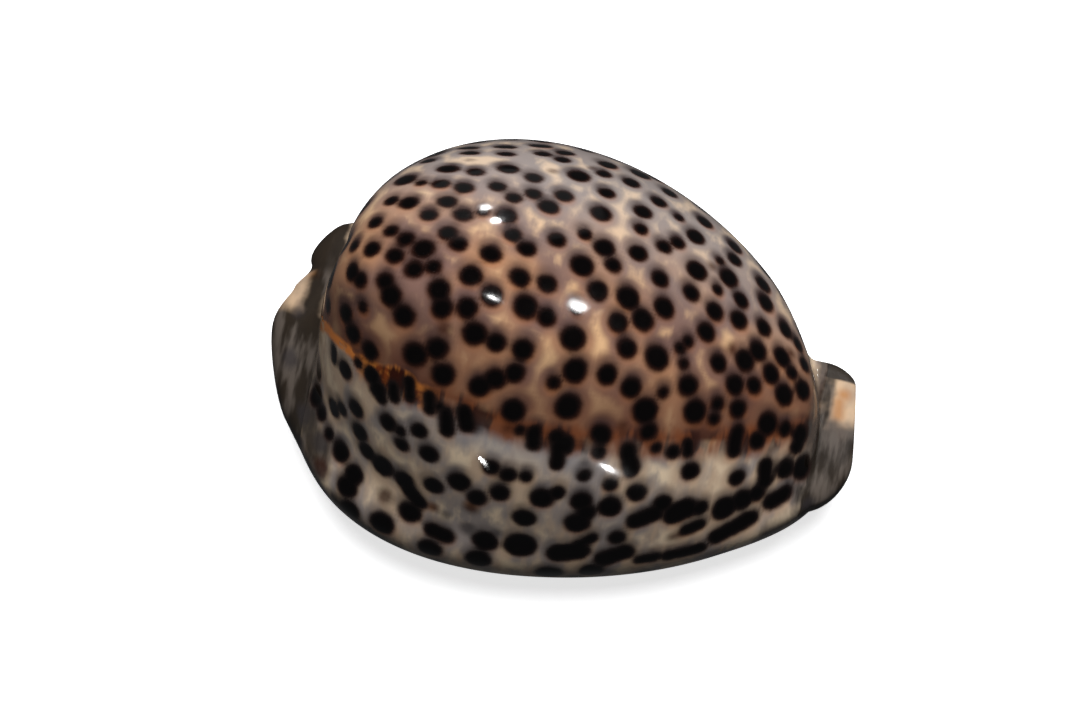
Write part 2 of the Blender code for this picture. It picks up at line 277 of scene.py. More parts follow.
# The scattered spots: their least and greatest radius and gap, and how many are tried
HIDDEN_SPOT_RADIUS = (0.9 * MM, 2.3 * MM)
HIDDEN_SPOT_GAP = (0.5 * MM, 1.9 * MM)
HIDDEN_SPOT_TRIES = 2600
SEED = 7
# Where they can be: how much the skin may face the camera, how far down it may face, and how
# far from the middle. Towards the base they are smaller and further apart
TURNED_AWAY = 0.12
LOWEST_FACING = -0.5
SCATTER_END = 37.0 * MM
LOW_FACING = (0.1, -0.5)
LOW_SHRINK = 0.45
LOW_GAP = 2.5 * MM

# Areas of the glaze. A pair gives the places where an area sets in and where it is full, and
# four places give an area that also fades out. First the whorl's own glaze along the shell
WHORL_SHOWS = (-40.5 * MM, -38.5 * MM, 41.5 * MM, 43.0 * MM)
# Along the shell: the mantle line's thread, its drips, its soft ribbon and the haze below it
THREAD_END = (-26.0 * MM, -31.0 * MM)
DRIPS_START = (-31.0 * MM, -27.5 * MM)
DRIPS_END = (-14.0 * MM, -20.0 * MM)
RIBBON_START = (-22.0 * MM, -15.0 * MM)
HAZE_SPAN = (-24.0 * MM, -14.0 * MM, 4.0 * MM, 16.0 * MM)
# The dome's far side, greyer in its ground and with a painted pale sheen, the flank low down on
# the inner lip's side, and the base, which is told by how far down the skin faces
FAR_GREY_AND_SHEEN_SIDE = (-2.0 * MM, 22.0 * MM)
FAR_FLANK_HEIGHT = (24.0 * MM, 9.0 * MM)
FAR_FLANK_SIDE = (-2.0 * MM, 6.0 * MM)
BASE_FACING = (-0.1, -0.75)
# Across each spout: where its dark near part fades out, and where its dark far part sets in;
# these parts are partly the spouts' own dark markings and partly painted shade
BACK_DARK = (-5.0 * MM, 2.5 * MM, 4.5 * MM, 7.5 * MM)
FRONT_DARK = (-5.5 * MM, 2.2 * MM, 5.6 * MM, 6.9 * MM)
# Along the shell: painted shade at the foot of the whorl at each end and in the front's crease,
# with how dark it is, and how many times faster than the callus's glaze the ends' darkening sets
# in
BACK_FOOT = (-46.0 * MM, -42.5 * MM)
BACK_FOOT_SHADE = 0.8
FRONT_FOOT = (38.6 * MM, 41.6 * MM)
FRONT_FOOT_END = (44.5 * MM, 43.0 * MM)
FRONT_FOOT_SHADE = 0.62
FRONT_CREASE = (45.0 * MM, 43.2 * MM)
FRONT_CREASE_SHADE = 0.7
DARK_ENDS_AND_SHADE_RISE = 2.0

# Noises in the glaze: the size of the lumps, the detail, how closely they are packed along each
# axis, and a shift
EVEN = (1.0, 1.0, 1.0)
SHELL_NOISES = {
    "broad": (14.0 * MM, 2.0, EVEN, 0.0),
    "middling": (4.4 * MM, 3.0, (1.3, 0.65, 0.65), 0.3),
    "fine": (2.6 * MM, 2.0, EVEN, 0.6),
    "streaks": (6.0 * MM, 3.0, (1.4, 0.5, 0.5), 0.9),
    "drips": (2.0 * MM, 2.0, (1.0, 0.25, 0.25), 1.2),
    "strands": (3.2 * MM, 3.0, (1.6, 0.35, 0.35), 1.5),
}
# How much a noise shifts the edges of the spots, of the mantle line and the flank, of the
# line's thread and of the dark patches and painted shade, in millimetres, and those of the
# ends' darkening and painted shade, as a share
SPOT_WAVER = 0.7
LINE_WAVER = 3.0
THREAD_WAVER = 1.8
PATCH_DARK_AND_SHADE_WAVER = 3.5
DARK_ENDS_AND_SHADE_WAVER = 0.6

# Two-toned colours: the noise that mixes the tones, the noise's values for each tone alone, and
# the tones. All colours are in the 0 to 255 steps that screens use
DOME_TONES = ("broad", (0.42, 0.62), (176, 130, 98), (128, 98, 88))
FLANK_TONES = ("streaks", (0.38, 0.62), (212, 184, 156), (164, 152, 146))
RUST_TONES = ("fine", (0.4, 0.58), (226, 138, 60), (128, 60, 24))
SPOUT_TONES = ("middling", (0.3, 0.7), (206, 176, 144), (172, 148, 126))
DARK_AND_SHADE_TONES = ("strands", (0.42, 0.62), (12, 10, 9), (84, 77, 72))
BASE_TONES = ("middling", (0.35, 0.7), (238, 228, 214), (226, 210, 196))
LINING_TONES = ("broad", (0.35, 0.65), (226, 214, 218), (204, 186, 200))
# In the layers below, EDGES and like pairs say where a layer sets in and where it is full, in
# millimetres from a mark or from the mantle line. Those of the ends' darkening and painted shade
# are values of its own field, and the glow fades with the shade's field. CLOUDS and STREAKS are
# the values of a noise between which a layer changes, and LEVELS are how strong it is at those
# values.
# The pale gaps between the spots, the dome's greyer far side with its painted sheen, and where
# the flank begins
GAP_EDGES = (1.1, 3.0)
GAP_CLOUDS = (0.38, 0.6)
DOME_GAP = (222, 180, 136)
FLANK_GAP = (246, 222, 190)
# The far side's colours carry a painted sheen, a pale blue-grey veil over the ground's own grey
FAR_GREY_AND_SHEEN = (160, 150, 146)
FAR_GAP_AND_SHEEN = (222, 198, 174)
FAR_GREY_AND_SHEEN_STRENGTH = 0.95
FLANK_EDGES = (0.6, -2.0)
# The brown band above the mantle line, and the grey haze below it
BAND_EDGES = (15.0, 1.0)
BAND_STOPS = (-0.5, 0.5)
BAND_CLOUDS = (0.35, 0.6)
BAND_LEVELS = (0.6, 0.95)
BAND_BROWN = (98, 60, 46)
HAZE_FAR = (-9.0, -4.0)
HAZE_NEAR = (-0.5, -2.5)
HAZE_STRENGTH = 0.6
HAZE_GREY = (160, 158, 162)
# The shade and the glow of the spots
SHADE_CLOUDS = (0.3, 0.7)
SHADE_LEVELS = (0.65, 1.0)
DOME_SHADE = (58, 42, 42)
FLANK_SHADE = (72, 64, 64)
GLOW_FADES = (0.9, 0.3)
GLOW_ORANGE = (188, 112, 58)
# The mantle line's drips, ribbon and thread
DRIP_CLOUDS = (0.48, 0.62)
DRIP_FAR = (-5.0, -2.0)
DRIP_NEAR = (1.5, 0.1)
DRIP_BROWN = (56, 20, 10)
RIBBON_SHIFT = 0.6
RIBBON_EDGES = (3.6, 1.0)
RIBBON_STREAKS = (0.35, 0.6)
RIBBON_LEVELS = (0.5, 0.95)
RIBBON_BROWN = (126, 70, 40)
RIBBON_DARK = (52, 26, 20)
THREAD_EDGES = (1.4, 0.3)
THREAD_CLOUDS = (0.4, 0.52)
THREAD_LEVELS = (0.35, 1.0)
THREAD_ORANGE = (230, 138, 66)
# Stains, dark patches and the ends' darkening, mostly on the spouts, and the near-black of the
# back spout's far part; the patches, the darkening and the near-black are partly painted shade
STAIN_EDGES = (1.2, -1.0)
STAIN_STRENGTH = 0.8
STAIN_OCHRE = (176, 116, 56)
PATCH_DARK_AND_SHADE_EDGES = (3.0, -1.0)
PATCH_DARK_AND_SHADE_STRENGTH = 0.9
DARK_ENDS_AND_SHADE_EDGES = (0.1, 0.75)
DARK_ENDS_AND_SHADE_STRENGTH = 0.96
FAR_BLACK_AND_SHADE_STRENGTH = 0.85
FAR_BLACK_AND_SHADE_COLOUR = (10, 8, 8)
# The soft spots, the brown ones, and the dark ones with their rims
SOFT_EDGES = (1.0, -0.8)
SOFT_STRENGTH = 0.7
SOFT_GREY = (52, 48, 50)
BROWN_EDGES = (1.3, -0.7)
BROWN_STRENGTH = 0.85
SPOT_BROWN = (62, 30, 18)
RIM_EDGES = (1.15, 0.0)
RIM_WARM = (56, 26, 15)
RIM_COOL = (34, 20, 18)
RIM_ON_FLANK = (34, 28, 27)
RIM_ON_FLANK_STRENGTH = 0.6
SPOT_EDGES = (0.65, -0.5)
SPOT_BLACK = (4, 2, 2)
# How glossy and how smooth the glaze is; the spouts are duller
GLOSS_CLOUDS = (0.3, 0.7)
GLOSS_LEVELS = (0.06, 0.11)
END_ROUGHNESS = 0.4
SPECULAR = 0.5
BUMP_STRENGTH = 0.1
BUMP_HEIGHT = 0.3 * MM
# A Mix node's colour sockets
MIX_FIRST, MIX_SECOND, MIX_RESULT = 6, 7, 2

# The white board that the shell lies on
FLOOR_HALF = 1.5
FLOOR_DROP = 0.05 * MM
BOARD_NOISES = {"cloud": (60.0 * MM, 2.0, EVEN, 0.0)}
BOARD_TONES = ("cloud", (0.3, 0.7), (250, 250, 250), (246, 246, 247))
BOARD_ROUGHNESS = 0.7
BOARD_GLOW = (255, 255, 255)
BOARD_GLOW_STRENGTH = 0.7

# Small lamps that only show as gleams: the photo's pixel of each gleam and the lamp's size,
# how far the lamps are from the shell, and how bright their faces are
GLEAMS = [
    (495, 218, 0.035), (484, 207, 0.03), (492, 297, 0.03), (577, 306, 0.028), (482, 461, 0.024),
    (608, 468, 0.024),
]
LAMP_DISTANCE = 0.75
GLEAM_STRENGTH = 130.0
# The wide soft light above and a little behind, a dim panel at the far side, and the room
SOFT_PLACE = Vector((0.0, 0.3, 1.05))
SOFT_SIZE = 0.9
SOFT_POWER = 16.0
PANEL_PLACE = Vector((0.0, 0.9, 0.45))
PANEL_SIZE = 1.0
PANEL_POWER = 0.4
ROOM_COLOUR = (0.045, 0.046, 0.048, 1.0)
ROOM_STRENGTH = 1.0

Stroke = namedtuple("Stroke", "start end radius rise squash")


def ramp(low, high, value):
    """A smooth step from 0 at low to 1 at high."""
    share = np.clip((value - low) / (high - low), 0.0, 1.0)
    return share * share * (3.0 - 2.0 * share)


def lengthwise(ends, x):
    """A value that goes smoothly from the back tip to the front tip."""
    share = ramp(BACK_TIP, FRONT_TIP, x)
    return ends["back"] * (1.0 - share) + ends["front"] * share


def bowed(values, x):
    """A value that curves away from its middle one towards the ones at the tips."""
    end = np.where(x < 0.0, values["back"], values["front"])
    return values["middle"] + (end - values["middle"]) * (x / FRONT_TIP) ** 2


def per_side(pair, across):
    """The outer lip's value where across points to its side, or else the inner lip's."""
    return np.where(across < 0.0, pair[OUTER], pair[INNER])


def egg(turn, fullness, lean):
    """An egg's half-width at an angle from its back tip, 0 to pi."""
    return np.sin(turn) ** fullness * (1.0 + lean * np.cos(turn)) / (1.0 + lean * lean / 2.0)


def oval(across, up, half_width, half_height, roundness):
    """The distance to an oval's edge along a direction with shares across and up."""
    total = np.abs(across / half_width) ** roundness + np.abs(up / half_height) ** roundness
    return total ** (-1.0 / roundness)


def joined(first, second, sharpness):
    """The larger of two distances, with a smooth fillet where they are alike."""
    largest = np.maximum(first, second)
    total = (first / largest) ** sharpness + (second / largest) ** sharpness
    return largest * total ** (1.0 / sharpness)


def turn_along(back, front, x):
    """The angle of x on the way from a back end to a front end, 0 to pi."""
    middle, half = (back + front) / 2.0, (front - back) / 2.0
    return np.arccos(np.clip((middle - x) / half, -NEARLY_ONE, NEARLY_ONE))


def whorl_distance(x, across, up, end_wall, side_wall, top_wall, depth):
    """The distance from the core line to the body whorl, or to the hollow inside it."""
    turn = turn_along(WHORL_BACK + end_wall, WHORL_FRONT - end_wall, x)
    reach = per_side(REACH, across) - side_wall
    width = reach * egg(turn, per_side(FULLNESS, across), per_side(LEAN, across))
    top = (WHORL_TOP - top_wall - CORE_HEIGHT) * egg(turn, TOP_FULLNESS, TOP_LEAN)
    height = np.where(up > 0.0, top, depth * np.sqrt(np.sin(turn)))
    outer_share = ramp(0.0, CREST_BLEND, -across)
    change = TOP_ROUNDNESS[OUTER] - TOP_ROUNDNESS[INNER]
    top_roundness = TOP_ROUNDNESS[INNER] + change * outer_share
    roundness = np.where(up > 0.0, top_roundness, UNDERSIDE_ROUNDNESS)
    return oval(across, up, width, height, roundness)


def outside_distance(x, across, up):
    """The distance from the core line to the outside of the shell."""
    whorl = whorl_distance(x, across, up, 0.0, 0.0, 0.0, UNDERSIDE_DEPTH)
    taper = (1.0 - (x / CALLUS_VANISHES) ** 2) ** lengthwise(CALLUS_TAPER, x)
    back = per_side(CALLUS_REACH_BACK, across)
    front = per_side(CALLUS_REACH_FRONT, across)
    bulge = egg(turn_along(BACK_TIP, FRONT_TIP, x), SWELL_FULLNESS, SWELL_LEAN)
    swell = per_side(CALLUS_SWELL, across) * bulge
    width = (lengthwise({"back": back, "front": front}, x) + swell) * taper
    top = (lengthwise(CALLUS_TOP, x) - CORE_HEIGHT) * taper
    height = np.where(up > 0.0, top, CALLUS_DEPTH)
    callus = oval(across, up, width, height, CALLUS_ROUNDNESS)
    near_side = ramp(0.0, JOIN_BLEND, -across)
    softening = (INNER_JOIN_SHARPNESS - bowed(OUTER_JOIN_SHARPNESS, x)) * near_side
    return joined(whorl, callus, INNER_JOIN_SHARPNESS - softening)


def hollow_distance(x, across, up):
    """The distance from the core line to the wall of the hollow or of the canal."""
    depth = CORE_HEIGHT - HOLLOW_FLOOR
    hollow = whorl_distance(x, across, up, END_WALL, SIDE_WALL, TOP_WALL, depth)
    slit = bowed(SLIT_HALF_WIDTH, x)
    roof = oval(across, up, slit, lengthwise(CANAL_ROOF, x) - CORE_HEIGHT, CALLUS_ROUNDNESS)
    sides = slit / np.maximum(np.abs(across), SMALLEST_SHARE)
    canal = np.where(up > 0.0, roof, sides)
    return joined(hollow, canal, CANAL_JOIN_SHARPNESS)


def ground_gap(x, off):
    """How far the base clears the ground at a distance off the slit's middle line."""
    slit = bowed(SLIT_HALF_WIDTH, x)
    return LIP_RISE * (1.0 - ramp(slit, slit + LIP_SLOPE_WIDTH, np.abs(off)))


def outside_arc(x, share):
    """Off the slit line and height, for shares from -1 at the outer lip to 1 at the inner."""
    edge = bowed(SLIT_HALF_WIDTH, x) + LIP_RADIUS
    last = np.pi - np.arctan2(edge, CORE_HEIGHT - ground_gap(x, edge))
    across, up = np.sin(share * last), np.cos(share * last)
    distance = outside_distance(x, across, up)
    off, height = distance * across, CORE_HEIGHT + distance * up
    return off, np.maximum(height, ground_gap(x, off))


def hollow_arc(x, share):
    """The same for the wall of the hollow and the canal."""
    slit = bowed(SLIT_HALF_WIDTH, x)
    last = np.pi - np.arctan2(slit, CORE_HEIGHT - LIP_TOP)
    across, up = np.sin(share * last), np.cos(share * last)
    distance = hollow_distance(x, across, up)
    return distance * across, CORE_HEIGHT + distance * up


def lip_arc(x, side, share):
    """The rounded edge of a lip, for shares from 0 at the base to 1 in the slit."""
    slit = bowed(SLIT_HALF_WIDTH, x)
    foot = ground_gap(x, slit + LIP_RADIUS)
    turn = share * np.pi / 2.0
    off = slit + LIP_RADIUS * (1.0 - np.sin(turn))
    height = foot + (LIP_TOP - foot) * (1.0 - np.cos(turn))
    return side * off, height


def loop_shares():
    """The shares that the points have round the outside and back round the hollow."""
    top = np.linspace(0.0, MARGIN_STARTS, TOP_POINTS, endpoint=False)
    margin = np.linspace(MARGIN_STARTS, MARGIN_ENDS, MARGIN_POINTS, endpoint=False)
    base = np.linspace(MARGIN_ENDS, 1.0, BASE_POINTS)
    side = np.concatenate([top, margin, base])
    outside = np.concatenate([-side[:0:-1], side])
    hollow = np.linspace(1.0, -1.0, len(outside) - 2 * LIP_POINTS)
    return outside, hollow


def section(x):
    """The thick C at x, as a closed loop: the outside, then a lip, the hollow and a lip."""
    outside, hollow = loop_shares()
    lip = np.arange(1, LIP_POINTS + 1) / (LIP_POINTS + 1.0)
    arcs = [
        outside_arc(x, outside),
        lip_arc(x, 1.0, lip),
        hollow_arc(x, hollow),
        lip_arc(x, -1.0, lip[::-1]),
    ]
    off = np.concatenate([arc[0] for arc in arcs])
    height = np.concatenate([arc[1] for arc in arcs])
    return off, height


def middle_of_wall(x):
    """The line inside the thick C that its rounded end closes on, point for point."""
    outside, hollow = loop_shares()
    shares = np.concatenate([outside, np.ones(LIP_POINTS), hollow, -np.ones(LIP_POINTS)])
    outer_off, outer_height = outside_arc(x, shares)
    inner_off, inner_height = hollow_arc(x, shares)
    return (outer_off + inner_off) / 2.0, (outer_height + inner_height) / 2.0


def with_teeth(x, off, height):
    """Push a section's points out round the lips where a tooth crosses them."""
    slit = bowed(SLIT_HALF_WIDTH, x)
    pitch = (TEETH_END - TEETH_START) / TEETH
    phase = (x - TEETH_START) / pitch % 1.0
    crest = (0.5 - 0.5 * np.cos(2.0 * np.pi * phase)) ** TOOTH_NARROWNESS
    crest *= ramp(TEETH_START, TEETH_START + pitch, x) * ramp(-TEETH_END, pitch - TEETH_END, -x)
    side = np.sign(off)
    from_lip = np.abs(off) - (slit + LIP_RADIUS)
    above_lip = height - LIP_TOP
    reach = np.hypot(from_lip, above_lip)
    tall = per_side(TOOTH_HEIGHT, off) * crest
    push = tall * (1.0 - ramp(LIP_RADIUS, LIP_RADIUS + TOOTH_FADE, reach))
    new_off = off + push * side * from_lip / np.maximum(reach, MM)
    new_height = height + push * above_lip / np.maximum(reach, MM)
    return new_off, np.maximum(new_height, 0.0)


def ring(x, roundness):
    """One ring of the skin; roundness goes from 1 along the shell to nearly 0 at a tip."""
    off, height = with_teeth(x, *section(x))
    middle_off, middle_height = middle_of_wall(x)
    off = middle_off + (off - middle_off) * roundness
    height = middle_height + (height - middle_height) * roundness
    back, front = ramp(SPOUT_START, FRONT_TIP, -x), ramp(SPOUT_START, FRONT_TIP, x)
    notch = np.exp(-(off / NOTCH_HALF_WIDTH) ** 2) * ramp(NOTCH_STARTS, NOTCH_FULL, height)
    far_lip = ramp(FAR_LIP_STARTS, FAR_LIP_ENDS, off)
    back_shift = BACK_SLANT * off + FAR_LIP_SETBACK * far_lip + BACK_NOTCH * notch
    along = x + back * back_shift - front * FRONT_SLANT * off
    lift = TIP_LIFT * np.clip((abs(x) - SPOUT_START) / (FRONT_TIP - SPOUT_START), 0.0, 1.0) ** 2
    return np.stack([along, bowed(SLIT_Y, x) + off, height + lift], axis=1)


def stations():
    """Where the rings are along the shell, each with its roundness."""
    turn = np.linspace(0.0, np.arccos(RIM_LEFT_OPEN), RINGS_PER_RIM + 1)[1:]
    rim = [(RIM_RADIUS * np.sin(angle), np.cos(angle)) for angle in turn]
    back_rim, front_rim = BACK_TIP + RIM_RADIUS, FRONT_TIP - RIM_RADIUS
    teeth = np.linspace(TEETH_START, TEETH_END, TEETH * RINGS_PER_TOOTH + 1)
    into_whorl = np.arange(RINGS_PER_JOIN) ** 2 / RINGS_PER_JOIN ** 2
    back = [back_rim, *(WHORL_BACK + (TEETH_START - WHORL_BACK) * into_whorl)]
    front = [*(WHORL_FRONT + (TEETH_END - WHORL_FRONT) * into_whorl[::-1]), front_rim]
    rings = [(back_rim - reach, roundness) for reach, roundness in rim[::-1]]
    rings += [(x, 1.0) for x in (*back, *teeth, *front)]
    rings += [(front_rim + reach, roundness) for reach, roundness in rim]
    return rings


def shell_mesh():
    """Join the rings into one closed skin, and set the shell down on its base."""
    rings = np.array([ring(x, roundness) for x, roundness in stations()])
    low = rings.min(axis=(0, 1))
    high = rings.max(axis=(0, 1))
    rings -= [(low[0] + high[0]) / 2.0, (low[1] + high[1]) / 2.0, low[2]]
    count = rings.shape[1]
    corner = np.arange(rings.shape[0] * count).reshape(rings.shape[:2])
    after = np.roll(corner, -1, axis=1)
    quads = np.stack([corner[:-1], after[:-1], after[1:], corner[1:]], axis=-1).reshape(-1, 4)
    faces = quads.tolist()
    for tip, turned in ((corner[0], True), (corner[-1], False)):
        for index in range(count // 2 - 1):
            across = count - 1 - index
            corners = [tip[index], tip[index + 1], tip[across - 1], tip[across]]
            faces.append([int(point) for point in (corners[::-1] if turned else corners)])
    data = bpy.data.meshes.new("cowrie_shell")
    data.from_pydata(rings.reshape(-1, 3).tolist(), [], faces)
    mesh = bmesh.new()
    mesh.from_mesh(data)
    bmesh.ops.recalc_face_normals(mesh, faces=mesh.faces)
    mesh.to_mesh(data)
    mesh.free()
    data.shade_smooth()
    return data, rings.shape[0]


def sight_line(pixel):
    """The direction from the camera through a pixel of the photo."""
    across = (pixel[0] - IMAGE_MIDDLE[0]) / FOCAL_PIXELS
    rise = (IMAGE_MIDDLE[1] - pixel[1]) / FOCAL_PIXELS
    return (RIGHT * across + UP * rise - BACK).normalized()


def uphill(normal):
    """The picture's upward direction, laid on the skin."""
    along = np.array(UP) - (np.array(UP) @ normal) * normal
    return along / np.linalg.norm(along)


def off_segment(points, start, end):
    """The vector to each point from the nearest place on a straight line."""
    run = end - start
    share = np.clip((points - start) @ run / max(run @ run, TINY), 0.0, 1.0)
    return points - start - share[:, None] * run


class Skin:
    """The shell's points and normals, and where the photo's pixels fall on it."""

    def __init__(self, data, rings):
        count = len(data.vertices)
        places = np.empty(count * 3, dtype=np.float32)
        data.vertices.foreach_get("co", places)
        self.all_points = places.reshape(-1, 3).astype(float)
        facing = np.empty(count * 3, dtype=np.float32)
        data.vertex_normals.foreach_get("vector", facing)
        around = np.tile(np.arange(count // rings), rings)
        self.outside = around < len(loop_shares()[0])
        self.points = self.all_points[self.outside]
        self.normals = facing.reshape(-1, 3).astype(float)[self.outside]
        polygons = [tuple(polygon.vertices) for polygon in data.polygons]
        self.tree = BVHTree.FromPolygons([tuple(point) for point in self.all_points], polygons)

    def hit(self, pixel):
        """The place and normal of the skin at a pixel, or where its sight line comes nearest."""
        direction = sight_line(pixel)
        place, normal, _, _ = self.tree.ray_cast(EYE, direction)
        if place is not None:
            return np.array(place), np.array(normal)
        beside = off_segment(self.points, np.array(EYE), np.array(EYE + direction))
        nearest = np.argmin(np.linalg.norm(beside, axis=1))
        return self.points[nearest], self.normals[nearest]

    def strokes(self, marks):
        """Each mark laid on the skin, with its radius in metres."""
        found = []
        for *places, size in marks:
            start, normal = self.hit(places[:2])
            end, _ = self.hit(places[-2:])
            depth = (np.array(EYE) - start) @ np.array(BACK)
            radius = size * depth / FOCAL_PIXELS
            squash = float(np.interp(places[1], SQUASH_ROWS, SQUASH))
            found.append(Stroke(start, end, radius, uphill(normal), squash))
        return found

    def around(self, stroke, shift=0.0):
        """Which points are near a stroke that is shifted uphill, and how far off it they are."""
        middle = (stroke.start + stroke.end) / 2.0
        limit = np.linalg.norm(stroke.end - stroke.start) / 2.0 + stroke.radius + NEARBY
        near = np.flatnonzero(np.linalg.norm(self.points - middle, axis=1) < limit)
        away = off_segment(self.points[near] - shift * stroke.rise, stroke.start, stroke.end)
        flattened = (stroke.squash ** 2 - 1.0) * (away @ stroke.rise) ** 2
        return near, np.sqrt(np.einsum("ij,ij->i", away, away) + flattened)

    def nearest(self, strokes):
        """How far outside the strokes each point is, in millimetres; near ones melt together."""
        total = np.full(len(self.points), np.exp(-FAR_OFF / MELT))
        for stroke in strokes:
            near, away = self.around(stroke)
            total[near] += np.exp((stroke.radius * SOLID_PART - away) / MM / MELT)
        return -MELT * np.log(total)

    def halo(self, strokes, shift, reach, strengths):
        """How deep each point is in the soft areas round the strokes, 0 to 1."""
        best = np.zeros(len(self.points))
        for stroke, strength in zip(strokes, strengths):
            near, away = self.around(stroke, shift)
            depth = ramp(stroke.radius + reach, stroke.radius / 2.0, away)
            best[near] = np.maximum(best[near], strength * depth)
        return best

    def set_field(self, data, name, values, elsewhere):
        """Store a number for each point: the values outside, and one number elsewhere."""
        field = np.full(len(self.all_points), elsewhere, dtype=np.float32)
        field[self.outside] = values
        data.attributes.new(name, "FLOAT", "POINT").data.foreach_set("value", field)


def hidden_spots(skin, known, rng):
    """Spots scattered over the sides that the camera doesn't see, clear of the known ones."""
    towards = np.array(EYE) - skin.points
    towards /= np.linalg.norm(towards, axis=1)[:, None]
    facing = np.einsum("ij,ij->i", skin.normals, towards)
    free = (facing < TURNED_AWAY) & (skin.normals[:, 2] > LOWEST_FACING)
    free &= np.abs(skin.points[:, 0]) < SCATTER_END
    places, normals = skin.points[free], skin.normals[free]
    middles = [(stroke.start + stroke.end) / 2.0 for stroke in known]
    sizes = [
        stroke.radius + np.linalg.norm(stroke.end - stroke.start) / 2.0 for stroke in known
    ]
    scattered = []
    for pick in rng.integers(0, len(places), HIDDEN_SPOT_TRIES):
        place = places[pick]
        low = ramp(*LOW_FACING, normals[pick][2])
        radius = rng.uniform(*HIDDEN_SPOT_RADIUS) * (1.0 - LOW_SHRINK * low)
        gap = rng.uniform(*HIDDEN_SPOT_GAP) + LOW_GAP * low
        apart = np.linalg.norm(np.array(middles) - place, axis=1)
        if np.all(apart > np.array(sizes) + radius + gap):
            middles.append(place)
            sizes.append(radius)
            scattered.append(Stroke(place, place, radius, uphill(normals[pick]), 1.0))
    return scattered


def line_distance(skin):
    """The distance from the mantle line in millimetres, negative on the near side."""
    turns = np.array(MANTLE_LINE)
    columns = np.arange(turns[0, 0], turns[-1, 0], LINE_STEP)
    rows = np.interp(columns, turns[:, 0], turns[:, 1])
    route = np.array([skin.hit(pixel)[0] for pixel in zip(columns, rows)])
    best = np.full(len(skin.points), np.inf)
    for start, end in zip(route, route[1:]):
        away = np.linalg.norm(off_segment(skin.points, start, end), axis=1)
        best = np.minimum(best, away / MM)
    route_y = np.interp(skin.points[:, 0], route[:, 0], route[:, 1])
    return np.where(skin.points[:, 1] < route_y, -best, best)


def span(edges, x):
    """1 between the two middle edges, and 0 beyond the outer ones."""
    start, full, fading, end = edges
    return ramp(start, full, x) * ramp(end, fading, x)


def areas(skin):
    """How far each point belongs to each area of the glaze, 0 to 1."""
    x, y, z = skin.points.T
    on_whorl = span(WHORL_SHOWS, x)
    on_callus = 1.0 - on_whorl
    far_flank = ramp(*FAR_FLANK_HEIGHT, z) * ramp(*FAR_FLANK_SIDE, y)
    # Painted shade at the whorl's foot and in the front crease, and on each spout's near and far
    # parts over their own dark markings
    back_foot = BACK_FOOT_SHADE * ramp(*BACK_FOOT, x)
    front_crease = FRONT_CREASE_SHADE * ramp(*FRONT_CREASE, x)
    front_foot = FRONT_FOOT_SHADE * ramp(*FRONT_FOOT, x) * ramp(*FRONT_FOOT_END, x)
    back_dark_and_shade = np.maximum(1.0 - span(BACK_DARK, y), back_foot)
    front_dark_and_shade = np.maximum(1.0 - span(FRONT_DARK, y), front_crease)
    dark_ends_and_shade = np.where(x < 0.0, back_dark_and_shade, front_dark_and_shade) * np.minimum(DARK_ENDS_AND_SHADE_RISE * on_callus, 1.0)
    return {
        "thread": ramp(*THREAD_END, x) * on_whorl,
        "drips": ramp(*DRIPS_START, x) * ramp(*DRIPS_END, x),
        "ribbon": ramp(*RIBBON_START, x) * on_whorl,
        "haze": span(HAZE_SPAN, x),
        "flank": np.maximum(far_flank, on_callus),
        "far_grey_and_sheen": ramp(*FAR_GREY_AND_SHEEN_SIDE, y) * on_whorl,
        "base": ramp(*BASE_FACING, skin.normals[:, 2]),
        "callus": on_callus,
        "dark_ends_and_shade": np.maximum(dark_ends_and_shade, front_foot),
        "far_black_and_shade": ramp(*BACK_DARK[2:], y) * on_callus,
    }


def paint(data, skin):
    """Store every field that the glaze reads."""
    rng = np.random.default_rng(SEED)
    dark = skin.strokes(EDGE_SPOTS + DOME_SPOTS + LINE_SPOTS + FLANK_SPOTS)
    marks = {
        "brown": skin.strokes(BROWN_SPOTS),
        "soft": skin.strokes(SOFT_SPOTS),
        "patch_dark_and_shade": skin.strokes(DARK_AND_SHADE_PATCHES),
        "stain": skin.strokes(STAIN_PATCHES),
    }
    dark += hidden_spots(skin, dark + marks["brown"] + marks["soft"], rng)
    for name, strokes in (("spot", dark), *marks.items()):
        skin.set_field(data, name, skin.nearest(strokes), FAR_OFF)
    shades = rng.uniform(*SHADE_STRENGTH, len(dark))
    glows = rng.uniform(*GLOW_STRENGTH, len(dark))
    skin.set_field(data, "shade", skin.halo(dark, SHADE_SHIFT, SHADE_REACH, shades), 0.0)
    skin.set_field(data, "glow", skin.halo(dark, GLOW_SHIFT, GLOW_REACH, glows), 0.0)
    skin.set_field(data, "line", line_distance(skin), FAR_OFF)
    skin.set_field(data, "inside", np.zeros(len(skin.points)), 1.0)
    for name, values in areas(skin).items():
        skin.set_field(data, name, values, 0.0)


def shade_of(red, green, blue):
    """A colour for the shader, from the 0 to 255 steps that screens use."""
    steps = np.array([red, green, blue]) / 255.0
    linear = np.where(steps < 0.04045, steps / 12.92, ((steps + 0.055) / 1.055) ** 2.4)
    return (*[float(part) for part in linear], 1.0)


